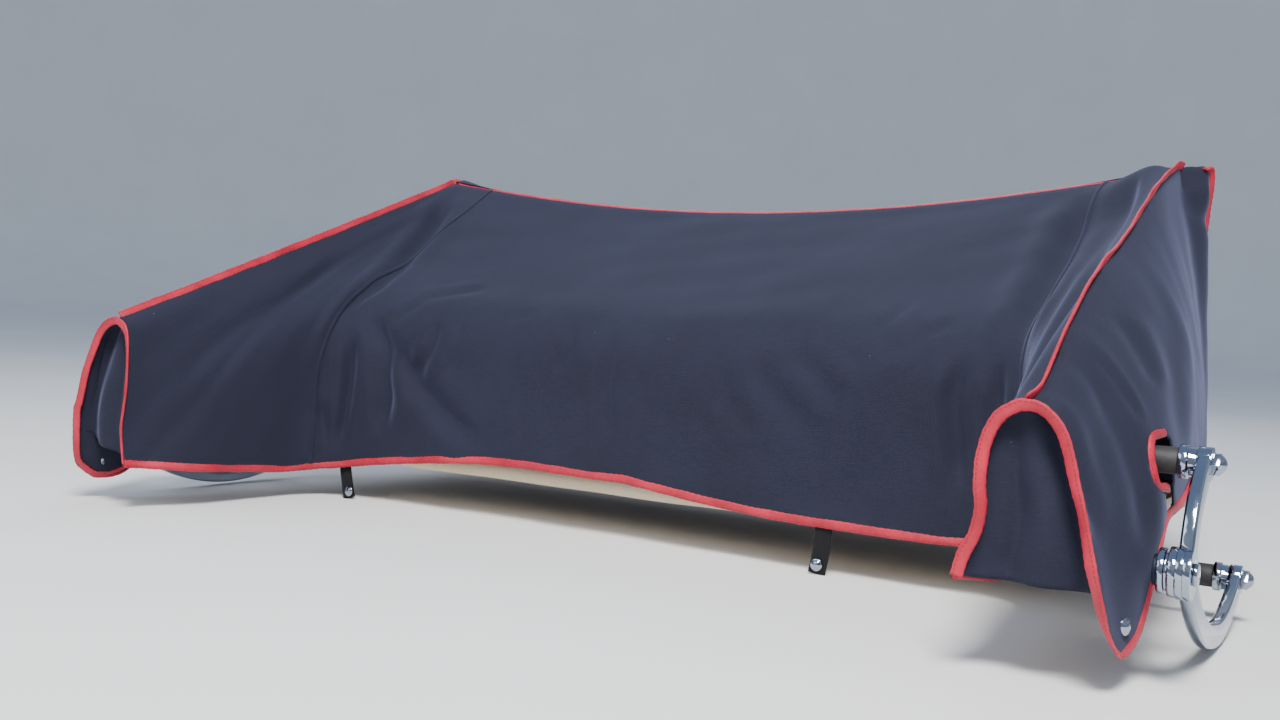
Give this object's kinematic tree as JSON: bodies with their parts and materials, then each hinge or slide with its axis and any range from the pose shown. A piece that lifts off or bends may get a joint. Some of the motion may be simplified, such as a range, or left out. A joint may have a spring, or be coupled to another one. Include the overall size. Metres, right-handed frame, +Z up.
{
  "type": "folded cabriolet hood",
  "caption": "Folded soft top of a vintage cabriolet in its fitted cloth cover, with bows, pivot brackets, tack rail and chromed landau irons.",
  "frame": {"origin": "middle of the rear bolt line on the underside of the tack rail, on the car's centreline", "axes": "+X to the car's left, +Y to the rear of the car, +Z up"},
  "size_m": [1.496, 0.795, 0.524],
  "materials": {
    "ash": "varnished ash",
    "black_steel": "black stoved enamel",
    "roof_cloth": "double-texture hood cloth",
    "cover_cloth": "black twill cover cloth",
    "headlining": "cream wool cloth",
    "webbing": "black webbing",
    "binding": "red leather binding",
    "chrome": "polished chrome plate",
    "black_sleeve": "black moulded sleeve"
  },
  "bodies": {
    "hood": {"tack_rail": "ash", "header_board": "ash", "bow_front": "ash", "bow_middle": "ash", "bow_rear": "ash", "folded_roof_cloth": "roof_cloth", "folded_headlining": "headlining", "folded_back_curtain": "roof_cloth", "pivot_bracket_left": "black_steel", "pivot_bracket_right": "black_steel", "pivot_pin_left": "black_steel", "pivot_pin_right": "black_steel", "main_link_left": "black_steel", "main_link_right": "black_steel", "rear_cantrail_left": "black_steel", "rear_cantrail_right": "black_steel", "front_cantrail_left": "black_steel", "front_cantrail_right": "black_steel", "hinge_pins_left": "black_steel", "hinge_pins_right": "black_steel", "bow_irons_left": "black_steel", "bow_irons_right": "black_steel", "landau_upper_arm_left": "chrome", "landau_upper_arm_right": "chrome", "landau_lower_arm_left": "chrome", "landau_lower_arm_right": "chrome", "landau_knuckle_left": "chrome", "landau_knuckle_right": "chrome", "landau_studs_left": "chrome", "landau_studs_right": "chrome", "landau_spacers_left": "black_sleeve", "landau_spacers_right": "black_sleeve", "landau_washers_left": "chrome", "landau_washers_right": "chrome", "landau_nuts_left": "chrome", "landau_nuts_right": "chrome"},
    "cover": {"cover_main_panel": "cover_cloth", "cover_back_panel": "cover_cloth", "cover_side_panel_left": "cover_cloth", "cover_side_panel_right": "cover_cloth", "cover_gusset_left": "cover_cloth", "cover_gusset_right": "cover_cloth", "cover_straps": "webbing", "cover_snaps": "chrome"}
  },
  "joints": [
    {"name": "cover_lift", "type": "slide", "parent": "hood", "child": "cover", "axis": [0, 0, 1], "range_m": [0, 0.52]}
  ]
}
